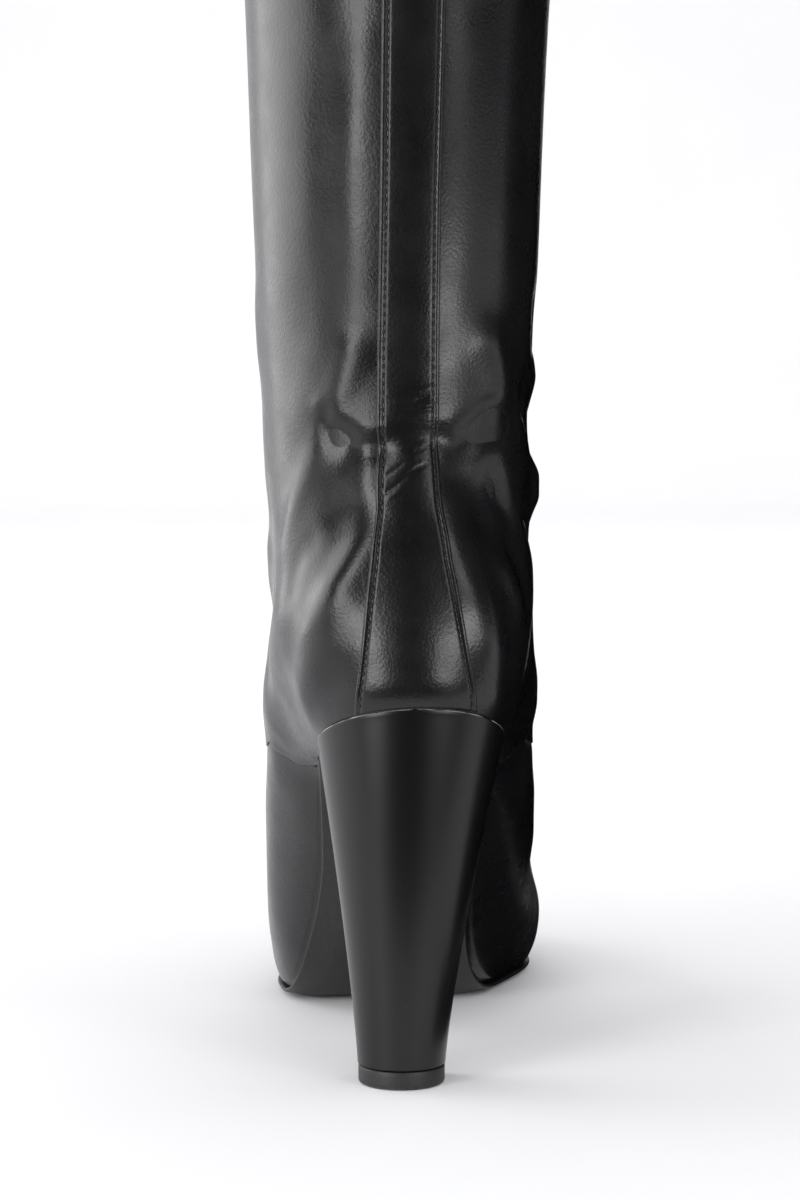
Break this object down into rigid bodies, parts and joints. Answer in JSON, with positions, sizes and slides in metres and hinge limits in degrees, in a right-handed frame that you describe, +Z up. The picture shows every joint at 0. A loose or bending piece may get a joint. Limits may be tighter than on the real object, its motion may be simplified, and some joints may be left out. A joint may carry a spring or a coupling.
{
  "type": "over-the-knee boot",
  "caption": "Left over-the-knee boot in black smooth leather, with a back strip, a thin leather sole and a tall block heel.",
  "frame": {"origin": "middle of the heel's tread, on the floor", "axes": "+Z up; -Y towards the toe; +X towards the outer side of the left foot"},
  "size_m": [0.122, 0.2467, 0.6772],
  "materials": {
    "upper_leather": "smooth, fine grain, satin",
    "strip_leather": "smooth, fine grain, satin",
    "sole_leather": "smooth, satin",
    "insole_leather": "matt",
    "heel_lacquer": "satin lacquer",
    "tip_rubber": "matt, hard"
  },
  "bodies": {
    "root": {"upper": "upper_leather", "back_strip": "strip_leather", "outsole": "sole_leather", "insole": "insole_leather", "heel": "heel_lacquer", "top_piece": "tip_rubber"}
  },
  "joints": []
}
